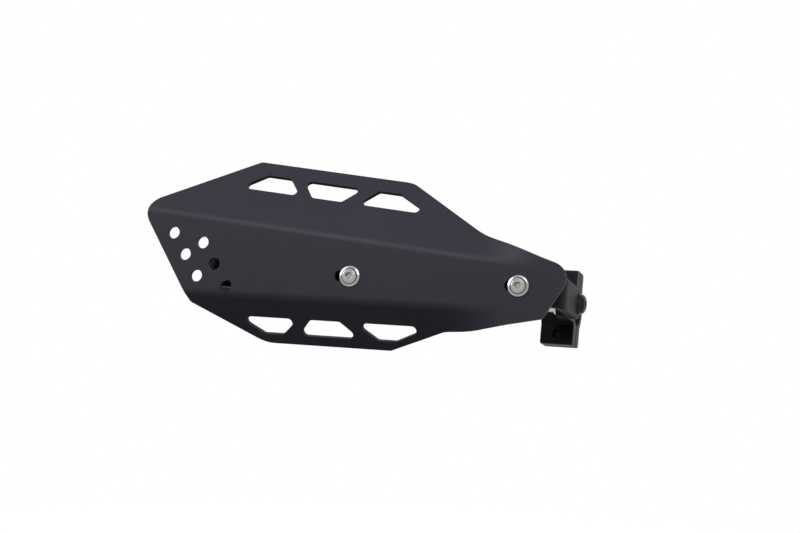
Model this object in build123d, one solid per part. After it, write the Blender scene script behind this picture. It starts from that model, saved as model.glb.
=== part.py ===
from build123d import *
from math import cos, radians, sin, sqrt, tan
import os

# A motorcycle hand guard for the right hand: a folded alloy plate, screwed to a bent flat bar that is
# clamped to the handlebar at its inner end and bolted to an expander in the open end of the handlebar.
# Millimetres. +X runs along the handlebar towards the middle of the bike, +Y towards the rider, +Z up.
# The origin is the middle of the clamp's bore.

# How the guard sits on the handlebar
lean = 10.0                    # turn about the handlebar, so that the face looks a little up
face_reach = 100.0             # handlebar axis to the front of the plate's face
tail_screw_x = -9.0            # clamp's middle to the inner plate screw
bar_end_x = -210.5             # clamp's middle to the end of the handlebar

# Plate: sheet, folds and fold lines, measured from the inner (tail) screw on the front of the face
sheet = 2.5
bend_radius = 8.0              # inside radius of both folds
upper_fold = 30.0              # how far each wing is folded back, in degrees
lower_fold = 34.0
upper_line_height = 13.8       # fold lines' height above or below the tail screw
lower_line_height = 15.7
upper_line_angle = 5.5         # how far each fold line runs in towards the screws, in degrees
lower_line_angle = 0.2

# Plate: upper wing, along its fold line (to the left is negative) and across from it
upper_wing_height = 52.75
upper_apex = -194.6            # where the rising outer edge meets the top edge
upper_shoulder = -86.1         # where the top edge meets the falling inner edge
upper_rise_angle = 36.3
upper_fall_angle = 30.6
upper_apex_radius = 5.0
upper_shoulder_radius = 16.0

# Plate: lower wing, in the same way
lower_wing_height = 33.85
lower_apex = -169.4
lower_shoulder = -83.7
lower_rise_angle = 28.0
lower_fall_angle = 23.6
lower_apex_radius = 25.0
lower_shoulder_radius = 4.0

# Plate: where the folds fade out into the flat tail, along each fold line
upper_fade_start = -34.0
upper_fade_end = 16.0
lower_fade_start = -48.0
lower_fade_end = -4.0
fade_stations = 9              # cross-sections that shape each fade
fade_corner = 2.5              # rounding of the edge where the wing runs into the tail

# Plate: the flat tail, in height above and below the fold lines and in corners from the tail screw
tail_upper_height = 5.5
tail_lower_height = 8.2
tail_tip = (34.3, 11.9)
tail_heel = (16.6, -19.5)
tail_tip_radius = 10.5
tail_heel_radius = 4.0

# Plate: the slanted outer edge
outer_edge_x = -234.7          # where the edge passes the height of the screws
outer_edge_angle = 56.1        # from the horizontal
outer_top_radius = 12.2
outer_bottom_radius = 4.5

# Plate: cut-outs of the wings; each row holds the left and right ends of a slot's side near the fold
# and then of its far side
upper_slot_near = 28.4
upper_slot_far = 42.1
upper_slots = [
    (-201.8, -158.0, -186.0, -169.3),
    (-149.5, -128.8, -159.8, -117.5),
    (-118.0, -67.2, -106.4, -91.3),
]
lower_slot_near = 15.2
lower_slot_far = 27.2
lower_slots = [
    (-188.2, -145.4, -169.6, -156.6),
    (-136.8, -116.8, -145.7, -103.4),
    (-107.4, -55.4, -91.7, -79.7),
]
slot_radius = 3.1

# Plate: two columns of vent holes beside the outer edge
vent_diameter = 8.0
vent_first = (-235.6, 22.6)
vent_step = (9.75, -13.9)
vent_column_step = (21.5, -5.6)
vents_in_column = 3
vent_columns = 2

# Plate: slotted screw holes; each screw sits at the inner end of its slot
screw_pitch = 110.0
tail_slot_play = 5.6           # how far each screw could slide outward
mid_slot_play = 7.2
screw_hole_clearance = 0.5

# Support bar
bar_height = 20.0
bar_thickness = 6.0
bar_bend_radius = 12.0         # inside radius
bar_edge_break = 0.8
spacer_length = 7.5
spacer_radius = 7.0
bend_clear = 8.0               # inner plate screw to the start of the inner bend

# Handlebar clamp
handlebar_radius = 11.1        # 22.2 mm bar
clamp_width = 22.0
clamp_wall = 5.0
clamp_ear_depth = 11.0         # from the split to the back of an ear
clamp_thread_depth = 7.4       # how far a clamp screw reaches past the split
clamp_ear_margin = 1.0         # rim of an ear beyond its washer
clamp_gap = 1.5
clamp_edge_round = 1.2
lug_thickness = 8.0
lug_reach = 30.0               # handlebar axis to the arm screw

# Bar end
collar_length = 12.0
collar_radius = 13.5
collar_land = 3.6              # length of the collar's full width
sleeve_radius = 8.5
sleeve_length = 30.0
sleeve_slit_width = 2.0
sleeve_slit_length = 23.0
sleeve_slits = 3
cone_length = 18.0
cone_depth = 9.0               # how far the cone reaches into the sleeve
cone_small_radius = 5.6
cone_large_radius = 7.9

# Fasteners: the small size holds the plate and the clamp, the large one the bar's two ends
small_thread = 6.0
large_thread = 8.0
thread_clearance = 0.05        # radial room between a screw and a tapped hole
hole_clearance = 0.3           # radial room between a screw and a plain hole
seat_clearance = 0.02          # room left between a cone and its seat
washer_clearance = 0.5         # room between a washer and a wall beside it
screw_overrun = 1.4            # how far a screw stands out of its nut
flange_radius = 6.8            # flanged button head of a plate screw
flange_rim_height = 0.8
flange_height = 1.2
flange_dome_radius = 5.2
flange_dome_height = 3.3
flange_dome_flat = 3.6         # radius of the flat top
flange_dome_bulge = 0.45
flange_socket = 4.0
flange_socket_depth = 2.1
small_cap_radius = 5.0         # socket cap heads; a head is as high as its thread is wide
small_cap_socket = 5.0
large_cap_radius = 6.5
large_cap_socket = 6.0
button_radius = 7.0
button_height = 4.4
button_flat = 3.5
button_bulge = 1.0
button_socket = 5.0
button_socket_depth = 2.4
washer_thickness = 1.6
small_washer_radius = 6.0
large_washer_radius = 8.0
small_nut_flats = 10.0
small_nut_height = 4.5
large_nut_flats = 13.0
large_nut_height = 6.5
nut_chamfer = 0.5
nut_collar_height = 1.5        # locking collar on top of a nut
edge_break = 0.4

# Values worked out from the sizes above
outer_bend = bend_radius + sheet
wing_root = 2 * outer_bend     # a wing's outline runs on below the fold line, past the whole bend
plate_back = -face_reach + sheet
bar_front = plate_back + spacer_length
bar_middle = bar_front + bar_thickness / 2
bar_back = bar_front + bar_thickness
bar_bend_middle = bar_bend_radius + bar_thickness / 2
mid_screw_x = tail_screw_x - screw_pitch
inner_leg_x = tail_screw_x + bend_clear + bar_bend_middle
outer_leg_x = bar_end_x - collar_length - bar_thickness / 2
lug_face_x = inner_leg_x - bar_thickness / 2
lug_back_x = lug_face_x - lug_thickness
clamp_ring_radius = handlebar_radius + clamp_wall
clamp_ring_top = sqrt(max(clamp_ring_radius ** 2 - clamp_ear_depth ** 2, 0))
clamp_screw_offset = clamp_ring_top + washer_clearance + small_washer_radius
clamp_ear_height = clamp_screw_offset + small_washer_radius + clamp_ear_margin
plate_stack = sheet + spacer_length + bar_thickness + washer_thickness
plate_screw_length = plate_stack + small_nut_height + nut_collar_height + screw_overrun
clamp_screw_length = washer_thickness + clamp_ear_depth + clamp_thread_depth
arm_stack = bar_thickness + lug_thickness + washer_thickness
arm_screw_length = arm_stack + large_nut_height + nut_collar_height + screw_overrun
bar_end_stack = washer_thickness + bar_thickness + collar_length + sleeve_length - cone_depth
bar_end_screw_length = bar_end_stack + cone_length + screw_overrun
small_hole = small_thread / 2 + hole_clearance
large_hole = large_thread / 2 + hole_clearance
small_tapped = small_thread / 2 + thread_clearance
large_tapped = large_thread / 2 + thread_clearance

# The front of the face: X to the right and Z up, looking at the guard from in front of the bike
front = Plane(origin=(0, 0, 0), x_dir=(1, 0, 0), z_dir=(0, -1, 0))


class FoldLine:
    """A fold of the plate: its line on the face, the wing's plane and its cross-sections."""

    def __init__(self, height, angle, fold):
        self.origin = Vector(0, 0, height)
        self.along = Vector(cos(radians(angle)), 0, -sin(radians(angle)))
        self.across = Vector(sin(radians(angle)), 0, cos(radians(angle)))
        self.fold = radians(fold)
        self.setback = outer_bend * tan(self.fold / 2)
        self.bend_width = outer_bend * self.fold

    def flat(self, u, v):
        """Point of the flat face at u along the line and v across it, as (X, Z)."""
        point = self.origin + self.along * u + self.across * v
        return point.X, point.Z

    def tail_edge(self, u, height, corner):
        """Height and slope, against the fold line, of the tail's edge from u to a corner (X, Z)."""
        away = Vector(corner[0], 0, corner[1]) - self.origin
        slope = (away.dot(self.across) - height) / (away.dot(self.along) - u)
        return height, slope

    def wing_plane(self):
        """Plane on the front of the folded wing, with its origin on the fold line."""
        outward = self.across * sin(self.fold) - Vector(0, 1, 0) * cos(self.fold)
        return Plane(origin=self.origin, x_dir=self.along, z_dir=outward)

    def wing_front(self, u, v):
        """Point of the folded wing as seen from the front, as (X, Z)."""
        point = self.wing_plane().from_local_coords(Vector(u, v, 0))
        return point.X, point.Z

    def section(self, u, fold, length):
        """Cross-section of the bend and the wing at u, for a fold in radians and a wing length."""
        direction = Vector(cos(fold), sin(fold))
        inward = Vector(-sin(fold), cos(fold))
        start = Vector(-self.setback, 0)
        radius = self.bend_width / fold if fold else 0
        outer_handle = 4 / 3 * tan(fold / 4) * radius if fold else self.bend_width / 3
        inner_handle = 4 / 3 * tan(fold / 4) * (radius - sheet) if fold else self.bend_width / 3
        swing = Vector(radius * sin(fold), radius * (1 - cos(fold)))
        bent = start + (swing if fold else Vector(self.bend_width, 0))
        tip = bent + direction * length
        inner_start = start + Vector(0, sheet)
        inner_bent = bent + inward * sheet
        inner_tip = tip + inward * sheet
        outline = [
            Bezier(start, start + Vector(outer_handle, 0), bent - direction * outer_handle, bent),
            Line(bent, tip),
            Line(tip, inner_tip),
            Line(inner_tip, inner_bent),
            Bezier(
                inner_bent,
                inner_bent - direction * inner_handle,
                inner_start + Vector(inner_handle, 0),
                inner_start,
            ),
            Line(inner_start, start),
        ]
        place = Plane(origin=self.origin + self.along * u, x_dir=self.across, z_dir=self.along * -1)
        return place * make_face(Curve() + outline)


def prism(plane, sketch, depth):
    """Sketch on a plane, extruded by depth to both sides."""
    return extrude(plane * sketch, amount=depth, both=True)


def rounded_polygon(points, radii):
    """Closed outline with a rounding radius for each corner; None leaves a corner sharp."""
    sketch = make_face(Polyline(*points, close=True))
    for point, radius in zip(points, radii):
        if radius:
            corner = sketch.vertices().sort_by_distance((point[0], point[1], 0))[0]
            sketch = fillet(corner, radius)
    return sketch


def slot_outline(row, near, far):
    """Outline of one cut-out of a wing, with rounded corners."""
    points = [(row[0], near), (row[1], near), (row[3], far), (row[2], far)]
    return rounded_polygon(points, [slot_radius] * len(points))


def wing_foot(height, apex, rise):
    """Where a wing's rising edge, run on past the fold line, reaches the root of the wing's outline."""
    return apex - (height + wing_root) / tan(radians(rise))


def folded_wing(line, height, apex, shoulder, rise, fall, apex_radius, shoulder_radius, fade, tail, slots):
    """One wing with its bend, its cut-outs and the fade into the flat tail."""
    start = fade[0]
    foot = wing_foot(height, apex, rise)
    fall_slope = tan(radians(fall))
    start_height = height - (start - shoulder) * fall_slope
    points = [
        (foot, -wing_root),
        (apex, height),
        (shoulder, height),
        (start, start_height),
        (start, -wing_root),
    ]
    outline = rounded_polygon(points, [None, apex_radius, shoulder_radius, None, None])
    strip = extrude(line.section(start, line.fold, height), amount=start - foot)
    wing = strip & prism(line.wing_plane(), outline, 2 * height)
    for row in slots[2]:
        wing -= prism(line.wing_plane(), slot_outline(row, slots[0], slots[1]), 2 * sheet)
    return wing + loft(fade_sections(line, fade, (start_height, -fall_slope), tail))


def fade_sections(line, fade, wing_edge, tail_edge):
    """Cross-sections in which a fold flattens out; each edge is a height and a slope at that end."""
    start, end = fade
    sections = []
    for index in range(fade_stations):
        share = index / (fade_stations - 1)
        ease = share * share * (3 - 2 * share)
        u = start + (end - start) * share
        wing = wing_edge[0] + wing_edge[1] * (u - start)
        tail = tail_edge[0] + tail_edge[1] * (u - end)
        rounding = 4 * fade_corner * share * (1 - share)
        edge = (wing + tail) / 2 + sqrt((wing - tail) ** 2 / 4 + rounding ** 2)
        length = edge - line.setback + (2 * line.setback - line.bend_width) * ease
        sections.append(line.section(u, line.fold * (1 - ease), length))
    return sections


def corner_cut(corner, first, second, radius):
    """Area outside a rounding of a corner, between edges that run to the points first and second."""
    corner, first, second = Vector(*corner), Vector(*first), Vector(*second)
    along_first = (first - corner).normalized()
    along_second = (second - corner).normalized()
    middle = (along_first + along_second).normalized()
    half = radians(along_first.get_angle(along_second)) / 2
    reach = radius / tan(half)
    centre = corner + middle * (radius / sin(half))
    start = corner + along_first * reach
    stop = corner + along_second * reach
    out_first = (start - centre).normalized()
    out_second = (stop - centre).normalized()
    beyond = [stop, stop + out_second * radius, corner - middle * radius, start + out_first * radius, start]
    arc = ThreePointArc(start, centre - middle * radius, stop)
    return make_face(Curve() + [arc, Polyline(*beyond)])


def crossing(first, second, third, fourth):
    """Point where the line through two points meets the line through two others."""
    first, second, third, fourth = (Vector(*point) for point in (first, second, third, fourth))
    run, other = second - first, fourth - third
    gap = third - first
    share = (gap.X * other.Y - gap.Y * other.X) / (run.X * other.Y - run.Y * other.X)
    return first + run * share


def mirrored(point):
    """The same point on the other side of the line through the screws."""
    return point[0], -point[1]


def guard_plate():
    """The folded sheet with its wings, cut-outs, vents and slotted screw holes."""
    upper = FoldLine(upper_line_height, upper_line_angle, upper_fold)
    lower = FoldLine(lower_line_height, lower_line_angle, lower_fold)
    left = wing_foot(upper_wing_height, upper_apex, upper_rise_angle)
    face_points = [
        upper.flat(left, -upper.setback),
        upper.flat(upper_fade_end, -upper.setback),
        upper.flat(upper_fade_end, tail_upper_height),
        tail_tip,
        tail_heel,
        mirrored(lower.flat(lower_fade_end, tail_lower_height)),
        mirrored(lower.flat(lower_fade_end, -lower.setback)),
        mirrored(lower.flat(left, -lower.setback)),
    ]
    face_radii = [None, None, None, tail_tip_radius, tail_heel_radius, None, None, None]
    plate = extrude(front * rounded_polygon(face_points, face_radii), amount=-sheet)
    plate += folded_wing(
        upper, upper_wing_height, upper_apex, upper_shoulder, upper_rise_angle, upper_fall_angle,
        upper_apex_radius, upper_shoulder_radius, (upper_fade_start, upper_fade_end),
        upper.tail_edge(upper_fade_end, tail_upper_height, tail_tip),
        (upper_slot_near, upper_slot_far, upper_slots),
    )
    lower_wing = folded_wing(
        lower, lower_wing_height, lower_apex, lower_shoulder, lower_rise_angle, lower_fall_angle,
        lower_apex_radius, lower_shoulder_radius, (lower_fade_start, lower_fade_end),
        lower.tail_edge(lower_fade_end, tail_lower_height, mirrored(tail_heel)),
        (lower_slot_near, lower_slot_far, lower_slots),
    )
    plate += mirror(lower_wing, about=Plane.XY)
    plate -= outer_edge_cut(upper, lower)
    plate -= vents()
    width = small_thread + 2 * screw_hole_clearance
    for x, play in ((0, tail_slot_play), (-screw_pitch, mid_slot_play)):
        slot = SlotOverall(play + width, width)
        plate -= prism(front, Pos(x - play / 2, 0) * slot, 2 * sheet)
    return Pos(tail_screw_x, -face_reach, 0) * plate


def outer_edge_cut(upper, lower):
    """Everything outside the slanted outer edge and its two rounded corners."""
    size = 2 * (upper_wing_height + lower_wing_height)
    slope = Vector(-cos(radians(outer_edge_angle)), sin(radians(outer_edge_angle)))
    edge_low = Vector(outer_edge_x, 0) - slope * size
    edge_high = Vector(outer_edge_x, 0) + slope * size
    outside = Vector(-size, 0)
    half_plane = make_face(Polyline(edge_low, edge_high, edge_high + outside, edge_low + outside, close=True))
    apex = upper.wing_front(upper_apex, upper_wing_height)
    apex_run = upper_wing_height / tan(radians(upper_rise_angle))
    upper_start = upper.wing_front(upper_apex - apex_run, 0)
    top = crossing(edge_low, edge_high, upper_start, apex)
    nadir = mirrored(lower.wing_front(lower_apex, lower_wing_height))
    nadir_run = lower_wing_height / tan(radians(lower_rise_angle))
    lower_start = mirrored(lower.wing_front(lower_apex - nadir_run, 0))
    bottom = crossing(edge_low, edge_high, lower_start, nadir)
    top_cut = corner_cut((top.X, top.Y), (outer_edge_x, 0), apex, outer_top_radius)
    bottom_cut = corner_cut((bottom.X, bottom.Y), (outer_edge_x, 0), nadir, outer_bottom_radius)
    depth = upper_wing_height
    return prism(front, half_plane, depth) + prism(front, top_cut, depth) + prism(front, bottom_cut, depth)


def vents():
    """Round vent holes in slanted columns along the outer edge."""
    holes = Part()
    for column in range(vent_columns):
        for row in range(vents_in_column):
            x = vent_first[0] + column * vent_column_step[0] + row * vent_step[0]
            z = vent_first[1] + column * vent_column_step[1] + row * vent_step[1]
            holes += prism(front, Pos(x, z) * Circle(vent_diameter / 2), 2 * sheet)
    return holes


def along_y(part, x, y, z=0):
    """Turns a piece built along +Z to run along +Y from a point."""
    return Plane(origin=(x, y, z), x_dir=(1, 0, 0), z_dir=(0, 1, 0)) * part


def along_x(part, x, y=0, z=0):
    """Turns a piece built along +Z to run along +X from a point."""
    return Plane(origin=(x, y, z), x_dir=(0, 1, 0), z_dir=(1, 0, 0)) * part


def opposite(part):
    """Turns a piece built along +Z to run along -Z."""
    return Rot(180, 0, 0) * part


def turned(points):
    """Solid turned about +Z from (radius, height) points."""
    outline = Polyline(*[(radius, 0, height) for radius, height in points], close=True)
    return revolve(make_face(outline), Axis.Z)


def hexagon(flats, depth):
    """Six-sided prism up from the origin."""
    return extrude(RegularPolygon(flats / 2, 6, major_radius=False), amount=depth)


def shank(thread, length):
    """Threaded shank up from the origin, with a chamfered point."""
    radius = thread / 2
    bevel = thread / 8
    return turned([(0, 0), (radius, 0), (radius, length - bevel), (radius - bevel, length), (0, length)])


def flanged_screw(length):
    """Plate screw: a domed head on a flat flange, hexagon socket, shank along +Z."""
    rim = (flange_radius, flange_rim_height)
    dome_foot = (flange_dome_radius, flange_height)
    dome_top = (flange_dome_flat, flange_dome_height)
    profile = [
        Polyline((0, 0), (flange_radius, 0), rim, dome_foot),
        SagittaArc(dome_foot, dome_top, -flange_dome_bulge),
        Polyline(dome_top, (0, flange_dome_height), (0, 0)),
    ]
    head = revolve(Plane.XZ * make_face(Curve() + profile), Axis.Z)
    head -= Pos(0, 0, flange_dome_height - flange_socket_depth) * hexagon(flange_socket, flange_dome_height)
    return opposite(head) + shank(small_thread, length)


def cap_screw(thread, length, radius, socket):
    """Socket cap screw: cylindrical head below the origin, shank along +Z."""
    bevel = edge_break
    head = turned([(0, 0), (radius, 0), (radius, thread - bevel), (radius - bevel, thread), (0, thread)])
    head -= Pos(0, 0, thread / 2) * hexagon(socket, thread)
    return opposite(head) + shank(thread, length)


def button_screw(thread, length):
    """Button head screw: domed head below the origin, shank along +Z."""
    rim = (button_radius, 0)
    top = (button_flat, button_height)
    profile = [
        Line((0, 0), rim),
        SagittaArc(rim, top, -button_bulge),
        Line(top, (0, button_height)),
        Line((0, button_height), (0, 0)),
    ]
    head = revolve(Plane.XZ * make_face(Curve() + profile), Axis.Z)
    head -= Pos(0, 0, button_height - button_socket_depth) * hexagon(button_socket, button_height)
    return opposite(head) + shank(thread, length)


def washer(radius, hole):
    """Flat washer up from the origin."""
    return turned([(hole, 0), (radius, 0), (radius, washer_thickness), (hole, washer_thickness)])


def lock_nut(flats, height, bore):
    """Hexagon nut up from the origin, chamfered, with a round locking collar on top."""
    corner = flats / sqrt(3)
    flat = flats / 2
    outside = [(flat, 0), (corner, nut_chamfer), (corner, height - nut_chamfer), (flat, height)]
    blank = turned([(bore, 0), *outside, (bore, height)])
    collar_foot = flat - edge_break / 2
    collar_top = flat - edge_break
    collar = turned([(bore, 0), (collar_foot, 0), (collar_top, nut_collar_height), (bore, nut_collar_height)])
    return (blank & hexagon(flats, height)) + Pos(0, 0, height) * collar


def plate_screw_places():
    """X of the two plate screws."""
    return tail_screw_x, mid_screw_x


def at_plate_screws(part, y):
    """One copy of a piece on each plate screw's axis, as a group of separate solids."""
    return Compound([along_y(part, x, y) for x in plate_screw_places()])


def spacer():
    """Round spacer between the plate and the bar, up from the origin."""
    bevel = edge_break
    top = spacer_length
    return turned([
        (small_hole, 0), (spacer_radius - bevel, 0), (spacer_radius, bevel),
        (spacer_radius, top - bevel), (spacer_radius - bevel, top), (small_hole, top),
    ])


def bar_section():
    """Cross-section of the flat bar, with broken edges."""
    return chamfer(Rectangle(bar_thickness, bar_height).vertices(), bar_edge_break)


def bar_end_disc():
    """Round end of the bar, with the same broken edges."""
    half_side = bar_section() & Pos(0, bar_height / 2) * Rectangle(bar_thickness, bar_height)
    return Rot(0, 90, 0) * revolve(half_side, Axis.X)


def support_bar():
    """Flat bar bent into a U: outer leg to the bar end, inner leg to the clamp's lug."""
    path = FilletPolyline(
        (outer_leg_x, 0), (outer_leg_x, bar_middle), (inner_leg_x, bar_middle), (inner_leg_x, -lug_reach),
        radius=bar_bend_middle,
    )
    start = Plane(origin=(outer_leg_x, 0, 0), x_dir=(1, 0, 0), z_dir=(0, -1, 0))
    bar = sweep(start * bar_section(), path)
    bar += along_x(bar_end_disc(), outer_leg_x)
    bar += along_x(bar_end_disc(), inner_leg_x, -lug_reach)
    for x in plate_screw_places():
        bar -= along_y(Cylinder(small_hole, 2 * bar_thickness), x, bar_middle)
    bar -= along_x(Cylinder(large_hole, 2 * bar_thickness), outer_leg_x)
    bar -= along_x(Cylinder(large_hole, 2 * bar_thickness), inner_leg_x, -lug_reach)
    return bar


def clamp_outline():
    """Ring and ears of the clamp in the YZ plane, drawn as (Y, Z)."""
    ring = Circle(clamp_ring_radius)
    ears = RectangleRounded(2 * clamp_ear_depth, 2 * clamp_ear_height, clamp_edge_round * 2)
    return ring + ears


def clamp_half(side):
    """One half of the clamp ring: side -1 is the front half and 1 the rear half."""
    depth = clamp_ring_radius
    half = Pos(side * (depth + clamp_gap / 2), 0) * Rectangle(2 * depth, 4 * clamp_ear_height)
    sketch = (clamp_outline() & half) - Circle(handlebar_radius)
    return along_x(extrude(sketch, amount=clamp_width / 2, both=True), 0)


def clamp_base():
    """Front half of the clamp with the lug that carries the support bar."""
    lug_start = handlebar_radius + clamp_wall / 2
    web = Pos(-(lug_reach + lug_start) / 2, 0) * Rectangle(lug_reach - lug_start, bar_height)
    lug = web + Pos(-lug_reach, 0) * Circle(bar_height / 2)
    base = clamp_half(-1) + along_x(extrude(lug, amount=lug_thickness), lug_back_x)
    base -= along_x(Cylinder(large_hole, 4 * lug_thickness), lug_face_x, -lug_reach)
    for z in (-clamp_screw_offset, clamp_screw_offset):
        base -= along_y(Cylinder(small_tapped, 4 * clamp_ear_depth), 0, -2 * clamp_ear_depth, z)
    return base


def clamp_cap():
    """Rear half of the clamp, with plain holes for the clamp screws."""
    cap = clamp_half(1)
    for z in (-clamp_screw_offset, clamp_screw_offset):
        cap -= along_y(Cylinder(small_hole, 4 * clamp_ear_depth), 0, 2 * clamp_ear_depth, z)
    return cap


def at_clamp_screws(part, y):
    """One copy of a piece on each clamp screw's axis, pointing forward."""
    places = (-clamp_screw_offset, clamp_screw_offset)
    return Compound([along_y(opposite(part), 0, y, z) for z in places])


def bar_end_collar():
    """Turned collar between the outer leg and the end of the handlebar."""
    start = bar_height / 2
    bevel = 2 * edge_break
    return turned([
        (large_hole, 0),
        (start, 0),
        (collar_radius, collar_length - collar_land),
        (collar_radius, collar_length - bevel),
        (collar_radius - bevel, collar_length),
        (large_hole, collar_length),
    ])


def cone_radius_at(depth):
    """Radius of the expander cone at a depth from its small end."""
    return cone_small_radius + (cone_large_radius - cone_small_radius) * depth / cone_length


def expander_sleeve():
    """Slit sleeve that the cone spreads inside the handlebar."""
    mouth = cone_radius_at(cone_depth) + seat_clearance
    throat = cone_small_radius + seat_clearance
    sleeve = turned([
        (large_hole, 0), (sleeve_radius, 0), (sleeve_radius, sleeve_length), (mouth, sleeve_length),
        (throat, sleeve_length - cone_depth), (large_hole, sleeve_length - cone_depth - edge_break),
    ])
    slit = Pos(sleeve_radius, 0, sleeve_length - sleeve_slit_length / 2)
    for index in range(sleeve_slits):
        turn = Rot(0, 0, 360 / sleeve_slits * index)
        sleeve -= turn * slit * Box(2 * sleeve_radius, sleeve_slit_width, sleeve_slit_length)
    return sleeve


def expander_cone():
    """Tapered nut that is drawn into the sleeve."""
    bevel = edge_break
    return turned([
        (large_tapped, 0),
        (cone_small_radius, 0),
        (cone_radius_at(cone_length - bevel), cone_length - bevel),
        (cone_large_radius - bevel, cone_length),
        (large_tapped, cone_length),
    ])


def build_nodes():
    """Every piece of the guard by name, before the guard is turned on the handlebar."""
    arm_head_x = inner_leg_x + bar_thickness / 2
    outer_face_x = outer_leg_x - bar_thickness / 2
    clamp_seat = clamp_ear_depth + washer_thickness
    return {
        "guard_plate": guard_plate(),
        "plate_screws": at_plate_screws(flanged_screw(plate_screw_length), -face_reach),
        "plate_spacers": at_plate_screws(spacer(), plate_back),
        "plate_washers": at_plate_screws(washer(small_washer_radius, small_hole), bar_back),
        "plate_nuts": at_plate_screws(
            lock_nut(small_nut_flats, small_nut_height, small_tapped), bar_back + washer_thickness
        ),
        "support_bar": support_bar(),
        "clamp_base": clamp_base(),
        "clamp_cap": clamp_cap(),
        "clamp_washers": at_clamp_screws(washer(small_washer_radius, small_hole), clamp_seat),
        "clamp_screws": at_clamp_screws(
            cap_screw(small_thread, clamp_screw_length, small_cap_radius, small_cap_socket), clamp_seat
        ),
        "arm_screw": along_x(opposite(button_screw(large_thread, arm_screw_length)), arm_head_x, -lug_reach),
        "arm_washer": along_x(
            opposite(washer(large_washer_radius, large_hole)), lug_back_x, -lug_reach
        ),
        "arm_nut": along_x(
            opposite(lock_nut(large_nut_flats, large_nut_height, large_tapped)),
            lug_back_x - washer_thickness, -lug_reach,
        ),
        "bar_end_screw": along_x(
            cap_screw(large_thread, bar_end_screw_length, large_cap_radius, large_cap_socket),
            outer_face_x - washer_thickness,
        ),
        "bar_end_washer": along_x(
            washer(large_washer_radius, large_hole), outer_face_x - washer_thickness
        ),
        "bar_end_collar": along_x(bar_end_collar(), outer_leg_x + bar_thickness / 2),
        "expander_sleeve": along_x(expander_sleeve(), bar_end_x),
        "expander_cone": along_x(expander_cone(), bar_end_x + sleeve_length - cone_depth),
    }


os.makedirs("parts", exist_ok=True)
for name, shape in build_nodes().items():
    export_step(Rot(-lean, 0, 0) * shape, f"parts/{name}.step")
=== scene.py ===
"""Looks of a motorcycle hand guard: finishes, fine fastener detail, floor, light and camera."""

import logging
import math
from dataclasses import dataclass, field
from enum import Enum

import bmesh
import bpy
from mathutils import Matrix, Vector


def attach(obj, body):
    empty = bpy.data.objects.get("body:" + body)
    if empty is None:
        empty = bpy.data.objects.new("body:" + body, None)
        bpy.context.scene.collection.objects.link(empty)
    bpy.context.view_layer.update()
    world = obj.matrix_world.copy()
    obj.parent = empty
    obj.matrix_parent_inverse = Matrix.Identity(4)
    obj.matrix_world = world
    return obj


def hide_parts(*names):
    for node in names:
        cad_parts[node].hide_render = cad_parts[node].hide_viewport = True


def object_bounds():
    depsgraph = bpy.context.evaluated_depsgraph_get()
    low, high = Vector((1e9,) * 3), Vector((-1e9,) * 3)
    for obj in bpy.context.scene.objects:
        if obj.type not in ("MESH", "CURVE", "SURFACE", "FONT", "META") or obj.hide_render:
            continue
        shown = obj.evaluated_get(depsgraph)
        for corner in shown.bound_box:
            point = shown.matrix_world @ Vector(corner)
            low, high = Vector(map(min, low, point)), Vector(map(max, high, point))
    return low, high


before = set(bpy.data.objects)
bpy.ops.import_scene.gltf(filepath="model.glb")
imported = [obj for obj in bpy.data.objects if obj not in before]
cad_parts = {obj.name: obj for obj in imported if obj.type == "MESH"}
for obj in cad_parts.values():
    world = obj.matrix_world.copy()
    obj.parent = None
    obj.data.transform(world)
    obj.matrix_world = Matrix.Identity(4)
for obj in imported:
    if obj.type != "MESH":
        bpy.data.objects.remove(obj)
CAD_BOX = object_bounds()

LOG = logging.getLogger("hand_guard")
BODY = "root"
MM = 0.001
LEAN = math.radians(10.0)

# Softened edges: how near points are welded, what counts as flat and as sharp, steps of a rounding, and
# how far large faces lead the shading beside it
WELD_DISTANCE = 0.001 * MM
FLAT_ANGLE = math.radians(0.2)
SHARP_ANGLE = math.radians(40.0)
ROUNDING_STEPS = 2
LARGE_FACE_LEAD = 100

# End faces of fasteners: how deep one is, and how far its points lie from each other at most
END_FACE_DEPTH = 0.01 * MM
END_FACE_REACH = 15.0 * MM

# Threads: steps in a turn, steps of the run-out, what is left at its end, and the ridge's section in pitches
THREAD_STEPS = 36
THREAD_RUN_OUT = 8
THREAD_END_SHARE = 0.05
THREAD_SECTION = ((-0.42, -0.03), (-0.06, 0.09), (0.06, 0.09), (0.42, -0.03))

# Knurls: half width of a ridge and its height in ridge spacings, and how far its foot is sunk in heights
KNURL_HALF_WIDTH = 0.48
KNURL_STEEPNESS = 0.2
KNURL_SINK = 0.25

# The part of a noise's range that is spread from 0 to 1
NOISE_SPAN = (0.3, 0.7)

# Coats: how much finer the speckle is than the orange peel
SPECKLE_FINENESS = 4.3

# Rubbed edges: how far the normal leans where the mask starts and is full, and the noise that breaks it up
EDGE_LEAN = (0.02, 0.22)
PATCH_SPAN = (0.3, 0.75)

# Painted recess shade: how open a place is where the painted shade is full and where it ends
PAINTED_SHADE_SPAN = (0.35, 0.95)

# Lathe marks: rings on a face to rings along the axis, cells and strength of their waver, and cells of
# the tone
FACE_RINGS = 1.3
WAVER_SCALE = 700.0
WAVER = 2.5
CLOUD_SCALE = 300.0

WHITE = (1.0, 1.0, 1.0, 1.0)

Colour = tuple[float, float, float]
Place = tuple[float, float, float]
Span = tuple[float, float]
Value = bpy.types.NodeSocket | float
Tint = bpy.types.NodeSocket | Colour


class Slot(Enum):
    """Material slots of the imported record."""

    PLATE = "plate"
    BAR = "bar"
    CLAMP = "clamp"
    SCREWS = "screws"
    BLACK_STEEL = "black_steel"
    ZINC_STEEL = "zinc_steel"
    BARE_ALLOY = "bare_alloy"


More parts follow.
